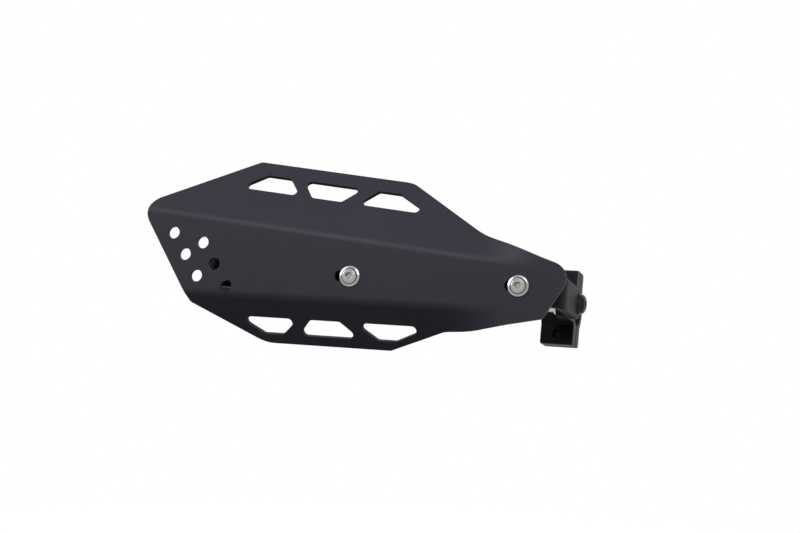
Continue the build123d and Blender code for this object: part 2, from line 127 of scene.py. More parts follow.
class Direction(Enum):
    """Directions in which the guard's fasteners point, from head to tip."""

    INWARD = (1.0, 0.0, 0.0)
    OUTWARD = (-1.0, 0.0, 0.0)
    REARWARD = (0.0, math.cos(LEAN), -math.sin(LEAN))
    FORWARD = (0.0, -math.cos(LEAN), math.sin(LEAN))

    @property
    def vector(self) -> Vector:
        """The direction as a unit vector."""
        return Vector(self.value)


class Light(Enum):
    """What a lamp gives: soft light or highlights."""

    SOFT = "soft"
    HIGHLIGHT = "highlight"


class NodeBuilder:
    """Adds and joins shader nodes in one tree."""

    def __init__(self, tree: bpy.types.ShaderNodeTree) -> None:
        """Takes the tree to fill."""
        self.tree = tree

    def node(self, kind: str, **settings: object) -> bpy.types.Node:
        """Adds a node and sets its properties.

        Args:
            kind: Blender's name of the node type.
            settings: Properties of the node.

        Returns:
            The new node.
        """
        made = self.tree.nodes.new(kind)
        for key, value in settings.items():
            setattr(made, key, value)
        return made

    def feed(self, socket: bpy.types.NodeSocket, value: Value | tuple[float, ...]) -> None:
        """Gives an input socket a link or a plain value.

        Args:
            socket: The input.
            value: A socket to link, a number or a colour with its alpha.
        """
        if isinstance(value, bpy.types.NodeSocket):
            self.tree.links.new(value, socket)
        else:
            socket.default_value = value

    def maths(self, operation: str, first: Value, second: Value = 0.0) -> bpy.types.NodeSocket:
        """Adds a Math node.

        Args:
            operation: Blender's name of the operation.
            first: A socket or a number.
            second: A socket or a number.

        Returns:
            The result's socket.
        """
        made = self.node("ShaderNodeMath", operation=operation)
        self.feed(made.inputs[0], first)
        self.feed(made.inputs[1], second)
        return made.outputs[0]

    def vectors(
        self, operation: str, first: bpy.types.NodeSocket, second: bpy.types.NodeSocket
    ) -> bpy.types.Node:
        """Adds a Vector Math node.

        Args:
            operation: Blender's name of the operation.
            first: A vector's socket.
            second: A vector's socket.

        Returns:
            The new node.
        """
        made = self.node("ShaderNodeVectorMath", operation=operation)
        self.feed(made.inputs[0], first)
        self.feed(made.inputs[1], second)
        return made

    def remap(self, value: Value, read: Span, given: Span = (0.0, 1.0)) -> bpy.types.NodeSocket:
        """Maps a range of values to another one and clamps it.

        Args:
            value: A socket or a number.
            read: Start and end of the range that is read.
            given: Start and end of the range that is given.

        Returns:
            The result's socket.
        """
        made = self.node("ShaderNodeMapRange", clamp=True)
        for name, number in zip(("From Min", "From Max", "To Min", "To Max"), (*read, *given)):
            made.inputs[name].default_value = number
        self.feed(made.inputs["Value"], value)
        return made.outputs["Result"]

    def blend(self, share: Value, first: Tint, second: Tint) -> bpy.types.NodeSocket:
        """Mixes two colours.

        Args:
            share: How much of the second colour there is.
            first: A socket or a colour.
            second: A socket or a colour.

        Returns:
            The mixed colour's socket.
        """
        made = self.node("ShaderNodeMix", data_type="RGBA")
        self.feed(made.inputs[0], share)
        for socket, colour in zip((made.inputs[6], made.inputs[7]), (first, second)):
            self.feed(socket, colour if isinstance(colour, bpy.types.NodeSocket) else (*colour, 1.0))
        return made.outputs[2]

    def place(self) -> bpy.types.NodeSocket:
        """Gives the point on the surface, in the guard's own frame."""
        return self.node("ShaderNodeTexCoord").outputs["Object"]

    def noise(self, scale: Value, detail: float = 2.0, roughness: float = 0.5) -> bpy.types.NodeSocket:
        """Adds a noise texture.

        Args:
            scale: Cells for each metre, as a socket or a number.
            detail: Octaves of the noise.
            roughness: How strong the finer octaves are.

        Returns:
            The noise's value socket.
        """
        made = self.node("ShaderNodeTexNoise")
        self.feed(made.inputs["Vector"], self.place())
        self.feed(made.inputs["Scale"], scale)
        made.inputs["Detail"].default_value = detail
        made.inputs["Roughness"].default_value = roughness
        return made.outputs["Fac"]

    def length(self, vector: bpy.types.NodeSocket) -> bpy.types.NodeSocket:
        """Measures a vector.

        Args:
            vector: The vector's socket.

        Returns:
            The socket of its length.
        """
        made = self.node("ShaderNodeVectorMath", operation="LENGTH")
        self.feed(made.inputs[0], vector)
        return made.outputs["Value"]

    def seen_directly(self) -> bpy.types.NodeSocket:
        """Tells rays from the camera, mirrors and glass from diffuse light.

        Returns:
            A socket that gives 1 for those rays and 0 for diffuse light.
        """
        path = self.node("ShaderNodeLightPath")
        seen = self.maths("MAXIMUM", path.outputs["Is Camera Ray"], path.outputs["Is Glossy Ray"])
        return self.maths("MAXIMUM", seen, path.outputs["Is Transmission Ray"])


class GroupBuilder(NodeBuilder):
    """A shader node group with named inputs and outputs."""

    def __init__(self, name: str) -> None:
        """Starts an empty group.

        Args:
            name: The group's name.
        """
        super().__init__(bpy.data.node_groups.new(name, "ShaderNodeTree"))
        self.entry = self.node("NodeGroupInput")
        self.exit = self.node("NodeGroupOutput")

    def takes(self, name: str, default: float | Vector) -> bpy.types.NodeSocket:
        """Adds an input.

        Args:
            name: The input's name.
            default: A number or a vector.

        Returns:
            The socket that gives the input inside the group.
        """
        kind = "NodeSocketVector" if isinstance(default, Vector) else "NodeSocketFloat"
        socket = self.tree.interface.new_socket(name, in_out="INPUT", socket_type=kind)
        socket.default_value = default
        return self.entry.outputs[name]

    def gives(self, name: str, value: bpy.types.NodeSocket) -> None:
        """Adds a number output and what feeds it."""
        self.tree.interface.new_socket(name, in_out="OUTPUT", socket_type="NodeSocketFloat")
        self.feed(self.exit.inputs[name], value)


def coat_grain_group() -> bpy.types.ShaderNodeTree:
    """Builds the orange peel of a baked coat, with a fine speckle and slow changes of tone.

    Returns:
        The node group.
    """
    build = GroupBuilder("coat_grain")
    peel_scale = build.takes("Peel Scale", 800.0)
    tone_scale = build.takes("Tone Scale", 14.0)
    fine_scale = build.maths("MULTIPLY", peel_scale, SPECKLE_FINENESS)
    build.gives("Height", build.noise(peel_scale, detail=3.0, roughness=0.55))
    build.gives("Speckle", build.remap(build.noise(fine_scale, detail=1.0), NOISE_SPAN))
    build.gives("Tone", build.remap(build.noise(tone_scale, detail=4.0, roughness=0.6), NOISE_SPAN))
    return build.tree


def rubbed_edge_group() -> bpy.types.ShaderNodeTree:
    """Builds a mask of the edges, broken up as rubbed edges are.

    Returns:
        The node group.
    """
    build = GroupBuilder("rubbed_edge")
    width = build.takes("Width", 0.6 * MM)
    break_up = build.takes("Break Up", 260.0)
    bevel = build.node("ShaderNodeBevel", samples=6)
    build.feed(bevel.inputs["Radius"], width)
    flat = build.node("ShaderNodeNewGeometry").outputs["True Normal"]
    across = build.vectors("DOT_PRODUCT", bevel.outputs["Normal"], flat).outputs["Value"]
    edge = build.remap(build.maths("SUBTRACT", 1.0, across), EDGE_LEAN)
    patches = build.remap(build.noise(break_up, detail=3.0), PATCH_SPAN)
    build.gives("Rubbed", build.maths("MULTIPLY", edge, patches))
    return build.tree


def painted_recess_shade_group() -> bpy.types.ShaderNodeTree:
    """Builds a mask of sockets and inside corners, where shade is painted into the colour.

    Returns:
        The node group.
    """
    build = GroupBuilder("painted_recess_shade")
    reach = build.takes("Reach", 2.0 * MM)
    # Ambient occlusion finds where shade falls; the mask paints that shade into a colour
    open_share = build.node("ShaderNodeAmbientOcclusion", samples=8, only_local=True)
    build.feed(open_share.inputs["Distance"], reach)
    build.gives("Painted Shade", build.remap(open_share.outputs["AO"], PAINTED_SHADE_SPAN, (1.0, 0.0)))
    return build.tree


def lathe_marks_group() -> bpy.types.ShaderNodeTree:
    """Builds the fine rings that turning leaves about an axis, on faces and round the outside alike.

    Returns:
        The node group.
    """
    build = GroupBuilder("lathe_marks")
    centre = build.takes("Centre", Vector((0.0, 0.0, 0.0)))
    axis = build.takes("Axis", Vector((1.0, 0.0, 0.0)))
    repeat = build.takes("Repeat", 1.0)
    pitch = build.takes("Pitch", 0.3 * MM)
    away = build.vectors("SUBTRACT", build.place(), centre).outputs["Vector"]
    split = build.node("ShaderNodeSeparateXYZ")
    build.feed(split.inputs["Vector"], away)
    half = build.maths("MULTIPLY", repeat, 0.5)
    wrapped = build.node("ShaderNodeMath", operation="WRAP")
    build.feed(wrapped.inputs[0], split.outputs["X"])
    build.feed(wrapped.inputs[1], half)
    build.feed(wrapped.inputs[2], build.maths("MULTIPLY", repeat, -0.5))
    joined = build.node("ShaderNodeCombineXYZ")
    build.feed(joined.inputs["X"], wrapped.outputs[0])
    build.feed(joined.inputs["Y"], split.outputs["Y"])
    build.feed(joined.inputs["Z"], split.outputs["Z"])
    along = build.vectors("DOT_PRODUCT", joined.outputs["Vector"], axis).outputs["Value"]
    across = build.vectors("CROSS_PRODUCT", joined.outputs["Vector"], axis).outputs["Vector"]
    run = build.maths("ADD", along, build.maths("MULTIPLY", build.length(across), FACE_RINGS))
    turns = build.maths("MULTIPLY", build.maths("DIVIDE", run, pitch), math.tau)
    waver = build.maths("MULTIPLY", build.noise(WAVER_SCALE), WAVER)
    build.gives("Height", build.remap(build.maths("SINE", build.maths("ADD", turns, waver)), (-1.0, 1.0)))
    build.gives("Tone", build.remap(build.noise(CLOUD_SCALE, detail=3.0), NOISE_SPAN))
    return build.tree


@dataclass
class Effects:
    """The surface effects that several finishes share."""

    coat_grain: bpy.types.ShaderNodeTree = field(default_factory=coat_grain_group)
    rubbed_edge: bpy.types.ShaderNodeTree = field(default_factory=rubbed_edge_group)
    # Painted shade in recesses, from ambient occlusion
    painted_recess_shade: bpy.types.ShaderNodeTree = field(default_factory=painted_recess_shade_group)
    lathe_marks: bpy.types.ShaderNodeTree = field(default_factory=lathe_marks_group)


class FinishBuilder(NodeBuilder):
    """A material with one Principled shader."""

    def __init__(self, name: str) -> None:
        """Starts a material.

        Args:
            name: The material's name.
        """
        self.material = bpy.data.materials.new(name)
        self.material.use_nodes = True
        super().__init__(self.material.node_tree)
        self.shader = self.tree.nodes["Principled BSDF"]

    def effect(self, group: bpy.types.ShaderNodeTree, **values: object) -> bpy.types.Node:
        """Places a shared effect.

        Args:
            group: The effect's node group.
            values: Its inputs, with underscores for spaces.

        Returns:
            The group's node.
        """
        made = self.node("ShaderNodeGroup", node_tree=group)
        for key, value in values.items():
            made.inputs[key.replace("_", " ").title()].default_value = value
        return made

    def plain(self, **values: float) -> None:
        """Sets constants on the shader's own sockets, with underscores for spaces."""
        for key, value in values.items():
            self.shader.inputs[key.replace("_", " ")].default_value = value

    def colour(self, value: bpy.types.NodeSocket) -> None:
        """Feeds the base colour."""
        self.feed(self.shader.inputs["Base Color"], value)

    def roughness(self, value: bpy.types.NodeSocket) -> None:
        """Feeds the roughness."""
        self.feed(self.shader.inputs["Roughness"], value)

    def bump(self, height: bpy.types.NodeSocket, depth: float) -> None:
        """Feeds the normal from a height.

        Args:
            height: A height from 0 to 1.
            depth: The real depth of that range, in metres.
        """
        made = self.node("ShaderNodeBump")
        made.inputs["Strength"].default_value = 1.0
        made.inputs["Distance"].default_value = depth
        self.feed(made.inputs["Height"], height)
        self.feed(self.shader.inputs["Normal"], made.outputs["Normal"])


@dataclass(frozen=True)
class CoatFinish:
    """Baked powder coat: a matt colour with orange peel, slow tone and paler rubbed edges.

    Attributes:
        name: The material's name.
        colour: Colour of the coat.
        tone_colour: Colour that it slowly changes to and back.
        edge_colour: Colour of rubbed edges.
        roughness: Middle of its roughness.
        specular: Level of its mirror light.
        roughness_spread: How far the speckle takes the roughness down and up.
        edge_share: How much of the edge's colour shows.
        edge_width: Width of a rubbed edge, in metres.
        edge_polish: How much smoother a rubbed edge is.
        peel_scale: Cells of the orange peel for each metre.
        peel_depth: Its depth, in metres.
    """

    name: str
    colour: Colour
    tone_colour: Colour
    edge_colour: Colour
    roughness: float
    specular: float
    roughness_spread: Span = (-0.03, 0.05)
    edge_share: float = 0.35
    edge_width: float = 0.5 * MM
    edge_polish: float = 0.25
    peel_scale: float = 800.0
    peel_depth: float = 0.05 * MM

    def material(self, effects: Effects) -> bpy.types.Material:
        """Builds the material.

        Args:
            effects: The shared effects.

        Returns:
            The material.
        """
        build = FinishBuilder(self.name)
        grain = build.effect(effects.coat_grain, peel_scale=self.peel_scale)
        edge = build.effect(effects.rubbed_edge, width=self.edge_width)
        tone = build.blend(grain.outputs["Tone"], self.colour, self.tone_colour)
        share = build.maths("MULTIPLY", edge.outputs["Rubbed"], self.edge_share)
        build.colour(build.blend(share, tone, self.edge_colour))
        spread = tuple(self.roughness + change for change in self.roughness_spread)
        rough = build.remap(grain.outputs["Speckle"], (0.0, 1.0), spread)
        build.roughness(build.maths("SUBTRACT", rough, build.maths("MULTIPLY", share, self.edge_polish)))
        build.plain(Specular_IOR_Level=self.specular)
        build.bump(grain.outputs["Height"], self.peel_depth)
        return build.material


@dataclass(frozen=True)
class MetalFinish:
    """Bare or plated metal with lathe marks, cloudy tone, bright rubbed edges and painted shade in its
    recesses.

    Attributes:
        name: The material's name.
        colour: Colour of the metal.
        tone_colour: Colour of its clouds.
        edge_colour: Colour of rubbed edges.
        roughness: Middle of its roughness.
        direction: Axis of the lathe marks.
        centre: A point on that axis.
        repeat: Distance along X between pieces that share the finish, each with marks of its own.
        roughness_spread: How far the clouds take the roughness down and up.
        edge_share: How much of the edge's colour shows.
        edge_width: Width of a rubbed edge, in metres.
        pitch: Distance between lathe marks, in metres.
        mark_depth: Their depth, in metres.
        recess_reach: How near the walls of a recess are, in metres.
        recess_shade: Share of the colour that is left in a recess, as painted shade.
    """

    name: str
    colour: Colour
    tone_colour: Colour
    edge_colour: Colour
    roughness: float
    direction: Direction
    centre: Place = (0.0, 0.0, 0.0)
    repeat: float = 1.0
    roughness_spread: Span = (-0.05, 0.06)
    edge_share: float = 0.6
    edge_width: float = 0.4 * MM
    pitch: float = 0.3 * MM
    mark_depth: float = 0.004 * MM
    recess_reach: float = 2.5 * MM
    recess_shade: float = 0.2

    def material(self, effects: Effects) -> bpy.types.Material:
        """Builds the material.

        Args:
            effects: The shared effects.

        Returns:
            The material.
        """
        build = FinishBuilder(self.name)
        marks = build.effect(
            effects.lathe_marks,
            centre=self.centre,
            axis=self.direction.value,
            repeat=self.repeat,
            pitch=self.pitch,
        )
        edge = build.effect(effects.rubbed_edge, width=self.edge_width)
        # Painted shade: the colour darkens in sockets and inside corners that ambient occlusion finds closed
        # in
        recess = build.effect(effects.painted_recess_shade, reach=self.recess_reach)
        tone = build.blend(marks.outputs["Tone"], self.colour, self.tone_colour)
        share = build.maths("MULTIPLY", edge.outputs["Rubbed"], self.edge_share)
        worn = build.blend(share, tone, self.edge_colour)
        # Colour of the painted shade in recesses
        painted_shade_colour = tuple(channel * self.recess_shade for channel in self.tone_colour)
        build.colour(build.blend(recess.outputs["Painted Shade"], worn, painted_shade_colour))
        spread = tuple(self.roughness + change for change in self.roughness_spread)
        build.roughness(build.remap(marks.outputs["Tone"], (0.0, 1.0), spread))
        build.plain(Metallic=1.0)
        build.bump(marks.outputs["Height"], self.mark_depth)
        return build.material


@dataclass
class Spindle:
    """A fastener's axis, on which fine detail is built.

    Attributes:
        end: Middle of an end face of the fastener.
        along: Direction from that end into the fastener.
    """

    end: Vector
    along: Vector

    def point(self, radius: float, angle: float, depth: float) -> Vector:
        """Finds a point beside the axis.

        Args:
            radius: Distance from the axis.
            angle: Angle round the axis.
            depth: Depth from the end.

        Returns:
            The point.
        """
        across = self.along.orthogonal().normalized()
        upward = self.along.cross(across)
        return self.end + self.along * depth + (across * math.cos(angle) + upward * math.sin(angle)) * radius


def spindles(node_name: str, direction: Direction) -> list[Spindle]:
    """Finds the axes of a node's fasteners from their end faces.

    Args:
        node_name: A node with one or more fasteners.
        direction: Where their end faces look.

    Returns:
        One spindle for each fastener.
    """
    points = [vertex.co.copy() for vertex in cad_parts[node_name].data.vertices]
    furthest = max(point.dot(direction.vector) for point in points)
    groups: list[list[Vector]] = []
    for point in points:
        if furthest - point.dot(direction.vector) > END_FACE_DEPTH:
            continue
        near = [group for group in groups if (group[0] - point).length < END_FACE_REACH]
        if near:
            near[0].append(point)
        else:
            groups.append([point])
    return [Spindle(sum(group, Vector()) / len(group), -direction.vector) for group in groups]


@dataclass(frozen=True)
class Thread:
    """The part of a screw's thread that stands out of its nut.

    Attributes:
        radius: Radius of the shank.
        pitch: Distance between turns.
        start: Where the thread starts, from the screw's point.
        length: How far it runs on from there.
    """

    radius: float
    pitch: float
    start: float
    length: float


@dataclass(frozen=True)
class Knurl:
    """Straight knurling round a screw head.

    Attributes:
        radius: Radius of the head.
        start: Where the knurling starts, from the top of the head.
        length: How far it runs on from there.
        ridges: Ridges round the head.
    """

    radius: float
    start: float
    length: float
    ridges: int


class DetailMesh:
    """Small raised detail on fasteners, gathered into one mesh."""

    def __init__(self) -> None:
        """Starts with no faces."""
        self.points: list[Vector] = []
        self.faces: list[tuple[int, ...]] = []

    def thread(self, spindle: Spindle, sizes: Thread) -> None:
        """Adds a screw thread's ridge.

        Args:
            spindle: Axis, with its end at the screw's point.
            sizes: The thread's sizes.
        """
        steps = round(sizes.length / sizes.pitch * THREAD_STEPS)
        first = len(self.points)
        for step in range(steps + 1):
            run_out = min(step, steps - step) / THREAD_RUN_OUT
            taper = min(1.0, max(THREAD_END_SHARE, run_out))
            for offset, height in THREAD_SECTION:
                reach = sizes.radius + sizes.pitch * height * taper
                place = sizes.start + sizes.pitch * (step / THREAD_STEPS + offset * taper)
                self.points.append(spindle.point(reach, math.tau * step / THREAD_STEPS, place))
        self.skin(first, steps, len(THREAD_SECTION))

    def knurl(self, spindle: Spindle, sizes: Knurl) -> None:
        """Adds the ridges of knurling.

        Args:
            spindle: Axis, with its end on top of the head.
            sizes: The knurling's sizes.
        """
        turn = math.tau / sizes.ridges
        height = KNURL_STEEPNESS * turn * sizes.radius
        sink = KNURL_SINK * height
        rows = ((0.0, 0.0), (height, height), (sizes.length - height, height), (sizes.length, 0.0))
        for index in range(sizes.ridges):
            first = len(self.points)
            for run, rise in rows:
                section = ((-KNURL_HALF_WIDTH, -sink), (0.0, rise), (KNURL_HALF_WIDTH, -sink))
                for side, lift in section:
                    place = spindle.point(sizes.radius + lift, turn * (index + side), sizes.start + run)
                    self.points.append(place)
            self.skin(first, len(rows) - 1, len(section))

    def skin(self, first: int, runs: int, width: int) -> None:
        """Joins rows of points into a closed skin.

        Args:
            first: Index of the first row's first point.
            runs: Gaps between rows.
            width: Points in a row.
        """
        last = first + runs * width
        for row in range(first, last, width):
            for side in range(width):
                beside = (side + 1) % width
                self.faces.append((row + side, row + beside, row + width + beside, row + width + side))
        self.faces.append(tuple(reversed(range(first, first + width))))
        self.faces.append(tuple(range(last, last + width)))

    def piece(self, name: str) -> bpy.types.Object:
        """Makes the piece and lets it ride with the guard.

        Args:
            name: The piece's name.

        Returns:
            The piece.
        """
        mesh = bpy.data.meshes.new(name)
        mesh.from_pydata(self.points, [], self.faces)
        work = bmesh.new()
        work.from_mesh(mesh)
        bmesh.ops.recalc_face_normals(work, faces=work.faces)
        work.to_mesh(mesh)
        work.free()
        made = bpy.data.objects.new(name, mesh)
        bpy.context.scene.collection.objects.link(made)
        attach(made, BODY)
        return made


def softened_copy(node_name: str, width: float, piece_name: str) -> bpy.types.Object:
    """Copies a solid and rounds its sharp edges as deburring does.

    Args:
        node_name: The solid's node.
        width: Width of the rounding, in metres.
        piece_name: Name of the copy.

    Returns:
        The copy, which stands for the node.
    """
    mesh = bpy.data.meshes.new(piece_name)
    work = bmesh.new()
    work.from_mesh(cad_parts[node_name].data)
    bmesh.ops.remove_doubles(work, verts=work.verts, dist=WELD_DISTANCE)
    bmesh.ops.dissolve_limit(work, angle_limit=FLAT_ANGLE, verts=work.verts, edges=work.edges)
    sharp = [edge for edge in work.edges if edge.calc_face_angle(0.0) > SHARP_ANGLE]
    bmesh.ops.bevel(
        work,
        geom=sharp,
        offset=width,
        offset_type="OFFSET",
        segments=ROUNDING_STEPS,
        profile=0.5,
        affect="EDGES",
        clamp_overlap=True,
        miter_outer="ARC",
    )
    for face in work.faces:
        face.smooth = True
    work.to_mesh(mesh)
    work.free()
    piece = bpy.data.objects.new(piece_name, mesh)
    bpy.context.scene.collection.objects.link(piece)
    even = piece.modifiers.new("even_normals", "WEIGHTED_NORMAL")
    even.weight = LARGE_FACE_LEAD
    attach(piece, BODY)
    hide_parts(node_name)
    return piece


def dress(piece: bpy.types.Object, material: bpy.types.Material) -> bpy.types.Object:
    """Gives a piece its finish.

    Args:
        piece: A CAD node's object or a new piece.
        material: Its material.

    Returns:
        The piece.
    """
    if piece.material_slots:
        for material_slot in piece.material_slots:
            material_slot.material = material
    else:
        piece.data.materials.append(material)
    return piece


def dress_node(node_name: str, material: bpy.types.Material) -> bpy.types.Object:
    """Gives a CAD node its finish and returns the node's object."""
    return dress(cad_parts[node_name], material)


def zinc_finish(
    name: str, direction: Direction, centre: Place = (0.0, 0.0, 0.0), repeat: float = 1.0
) -> MetalFinish:
    """Gives bright zinc plate on steel.

    Args:
        name: The material's name.
        direction: Axis of the pieces that it covers.
        centre: A point on that axis.
        repeat: Distance along X between pieces that share the material.

    Returns:
        The finish.
    """
    return MetalFinish(
        name=name,
        colour=(0.5, 0.515, 0.54),
        tone_colour=(0.43, 0.44, 0.445),
        edge_colour=(0.7, 0.71, 0.73),
        roughness=0.3,
        direction=direction,
        centre=centre,
        repeat=repeat,
    )


def black_steel_finish(name: str, direction: Direction) -> MetalFinish:
    """Gives black oxide on steel.

    Args:
        name: The material's name.
        direction: Axis of the pieces that it covers.

    Returns:
        The finish.
    """
    return MetalFinish(
        name=name,
        colour=(0.024, 0.024, 0.026),
        tone_colour=(0.018, 0.018, 0.018),
        edge_colour=(0.12, 0.12, 0.12),
        roughness=0.36,
        direction=direction,
    )


@dataclass
class GuardPlate:
    """The folded sheet."""

    effects: Effects
    edge_round: float = 0.4 * MM
    finish: CoatFinish = CoatFinish(
        name="satin_black_coat",
        colour=(0.0345, 0.0299, 0.0417),
        tone_colour=(0.038, 0.0328, 0.0458),
        edge_colour=(0.11, 0.11, 0.115),
        roughness=0.45,
        specular=0.05,
    )

    def build(self) -> list[bpy.types.Object]:
        """Rounds the sheet's edges, coats it and returns it."""
        plate = softened_copy("guard_plate", self.edge_round, "folded_plate")
        return [dress(plate, self.finish.material(self.effects))]


@dataclass
class PlateFixings:
    """Screws, spacers, washers and nuts that hold the plate to the bar."""

    effects: Effects
    edge_round: float = 0.25 * MM
    screw_thread: Thread = Thread(radius=3.0 * MM, pitch=1.0 * MM, start=0.75 * MM, length=2.5 * MM)

    def build(self) -> list[bpy.types.Object]:
        """Rounds the screws' edges, adds their threads and dresses the fixings.

        Returns:
            The dressed pieces.
        """
        ends = spindles("plate_screws", Direction.REARWARD)
        middle = tuple(ends[0].end)
        pitch = abs(ends[0].end.x - ends[1].end.x)
        stainless = MetalFinish(
            name="bright_stainless",
            colour=(0.38, 0.38, 0.375),
            tone_colour=(0.31, 0.31, 0.305),
            edge_colour=(0.55, 0.55, 0.55),
            roughness=0.15,
            direction=Direction.REARWARD,
            centre=middle,
            repeat=pitch,
            # Painted shade in the screws' sockets and inside corners
            recess_reach=1.6 * MM,
            recess_shade=0.3,
        ).material(self.effects)
        screws = softened_copy("plate_screws", self.edge_round, "flanged_screws")
        threads = DetailMesh()
        for spindle in ends:
            threads.thread(spindle, self.screw_thread)
        spacer_alloy = MetalFinish(
            name="turned_spacer_alloy",
            colour=(0.48, 0.488, 0.505),
            tone_colour=(0.41, 0.418, 0.435),
            edge_colour=(0.75, 0.75, 0.77),
            roughness=0.34,
            direction=Direction.REARWARD,
            centre=middle,
            repeat=pitch,
        ).material(self.effects)
        zinc = zinc_finish("zinc_plate_on_nuts", Direction.REARWARD, middle, pitch).material(self.effects)
        return [
            dress(screws, stainless),
            dress(threads.piece("plate_screw_threads"), stainless),
            dress_node("plate_spacers", spacer_alloy),
            dress_node("plate_washers", zinc),
            dress_node("plate_nuts", zinc),
        ]


@dataclass
class SupportBar:
    """The flat bar that is bent round the hand."""

    effects: Effects
    finish: CoatFinish = CoatFinish(
        name="black_coat_on_bar",
        colour=(0.022, 0.022, 0.024),
        tone_colour=(0.026, 0.026, 0.028),
        edge_colour=(0.09, 0.09, 0.095),
        roughness=0.46,
        specular=0.03,
    )

    def build(self) -> list[bpy.types.Object]:
        """Coats the bar and returns it."""
        return [dress_node("support_bar", self.finish.material(self.effects))]


@dataclass
class HandlebarClamp:
    """The split clamp with its screws, and the screw that carries the bar."""

    effects: Effects
    edge_round: float = 0.6 * MM
    head_knurl: Knurl = Knurl(radius=5.0 * MM, start=1.0 * MM, length=4.2 * MM, ridges=40)
    arm_thread: Thread = Thread(radius=4.0 * MM, pitch=1.25 * MM, start=1.0 * MM, length=2.5 * MM)
    finish: CoatFinish = CoatFinish(
        name="black_anodised_alloy",
        colour=(0.016, 0.016, 0.018),
        tone_colour=(0.02, 0.02, 0.022),
        edge_colour=(0.12, 0.12, 0.125),
        roughness=0.42,
        specular=0.04,
        peel_scale=3200.0,
        peel_depth=0.006 * MM,
    )

    def build(self) -> list[bpy.types.Object]:
        """Rounds the clamp's edges, adds the fasteners' fine detail and dresses all of it.

        Returns:
            The dressed pieces.
        """
        anodised = self.finish.material(self.effects)
        black = black_steel_finish("black_oxide_on_clamp", Direction.FORWARD).material(self.effects)
        arm_black = black_steel_finish("black_oxide_on_arm", Direction.OUTWARD).material(self.effects)
        zinc = zinc_finish("zinc_plate_on_clamp", Direction.OUTWARD).material(self.effects)
        knurls = DetailMesh()
        for spindle in spindles("clamp_screws", Direction.REARWARD):
            knurls.knurl(spindle, self.head_knurl)
        threads = DetailMesh()
        for spindle in spindles("arm_screw", Direction.OUTWARD):
            threads.thread(spindle, self.arm_thread)
        return [
            dress(softened_copy("clamp_base", self.edge_round, "clamp_front_half"), anodised),
            dress(softened_copy("clamp_cap", self.edge_round, "clamp_rear_half"), anodised),
            dress_node("clamp_screws", black),
            dress(knurls.piece("clamp_screw_knurls"), black),
            dress_node("clamp_washers", zinc),
            dress_node("arm_screw", arm_black),
            dress(threads.piece("arm_screw_thread"), arm_black),
            dress_node("arm_washer", zinc),
            dress_node("arm_nut", zinc),
        ]


@dataclass
class BarEnd:
    """Collar, expander and long screw at the bar's outer end."""

    effects: Effects
    head_knurl: Knurl = Knurl(radius=6.5 * MM, start=1.2 * MM, length=5.8 * MM, ridges=48)
    screw_thread: Thread = Thread(radius=4.0 * MM, pitch=1.25 * MM, start=1.0 * MM, length=2.5 * MM)
    finish: MetalFinish = MetalFinish(
        name="turned_alloy",
        colour=(0.5, 0.505, 0.52),
        tone_colour=(0.43, 0.435, 0.45),
        edge_colour=(0.7, 0.7, 0.71),
        roughness=0.28,
        direction=Direction.INWARD,
        pitch=0.35 * MM,
    )

    def build(self) -> list[bpy.types.Object]:
        """Adds the screw's fine detail and dresses it and the turned pieces.

        Returns:
            The dressed pieces.
        """
        alloy = self.finish.material(self.effects)
        zinc = zinc_finish("zinc_plate_on_cone", Direction.INWARD).material(self.effects)
        black = black_steel_finish("black_oxide_on_bar_end", Direction.INWARD).material(self.effects)
        detail = DetailMesh()
        for spindle in spindles("bar_end_screw", Direction.OUTWARD):
            detail.knurl(spindle, self.head_knurl)
        for spindle in spindles("bar_end_screw", Direction.INWARD):
            detail.thread(spindle, self.screw_thread)
        return [
            dress_node("bar_end_collar", alloy),
            dress_node("expander_sleeve", alloy),
            dress_node("expander_cone", zinc),
            dress_node("bar_end_washer", zinc),
            dress_node("bar_end_screw", black),
            dress(detail.piece("bar_end_screw_knurl_and_thread"), black),
        ]


@dataclass(frozen=True)
class Softbox:
    """A rectangular lamp that faces the guard.

    Attributes:
        name: The lamp's name.
        place: Its middle, in metres.
        size: Width and height, in metres.
        power: Watts.
        light: What it gives.
        receivers: Names of the pieces that it shines on, where it doesn't shine on all of them.
    """

    name: str
    place: Place
    size: Span
    power: float
    light: Light
    receivers: tuple[str, ...] = ()

    def build(self) -> None:
        """Adds the lamp."""
        data = bpy.data.lights.new(self.name, "AREA")
        data.shape = "RECTANGLE"
        data.size, data.size_y = self.size
        data.energy = self.power
        lamp = bpy.data.objects.new(self.name, data)
        lamp.location = self.place
        low, high = CAD_BOX
        lamp.rotation_euler = ((low + high) / 2 - lamp.location).to_track_quat("-Z", "Y").to_euler()
        lamp.visible_diffuse = self.light is Light.SOFT
        lamp.visible_glossy = self.light is Light.HIGHLIGHT
        bpy.context.scene.collection.objects.link(lamp)
        if self.receivers:
            lit = bpy.data.collections.new(f"{self.name}_receivers")
            for name in self.receivers:
                lit.objects.link(bpy.data.objects[name])
            lamp.light_linking.receiver_collection = lit


SOFTBOXES = (
    Softbox("left_softbox", (-0.47, -0.9, 0.99), (0.6, 0.5), 9.6, Light.SOFT),
    Softbox("right_softbox", (0.48, -0.92, 1.08), (0.8, 0.6), 10.2, Light.SOFT),
    Softbox("rear_left_softbox", (-0.95, 0.85, 0.7), (0.8, 0.6), 15.0, Light.SOFT),
    Softbox("rear_right_softbox", (0.75, 1.0, 0.8), (0.8, 0.6), 15.0, Light.SOFT),
    Softbox("rear_panel", (0.1, 1.3, 0.9), (1.4, 1.0), 4.0, Light.HIGHLIGHT),
    Softbox("bend_panel", (-0.42, -0.86, 0.85), (0.4, 0.4), 16.0, Light.HIGHLIGHT, ("folded_plate",)),
    Softbox("left_panel", (-0.96, -0.86, 0.62), (0.7, 0.55), 7.0, Light.HIGHLIGHT),
    Softbox("right_panel", (0.03, -1.15, 0.715), (0.4, 0.4), 3.0, Light.HIGHLIGHT),
)


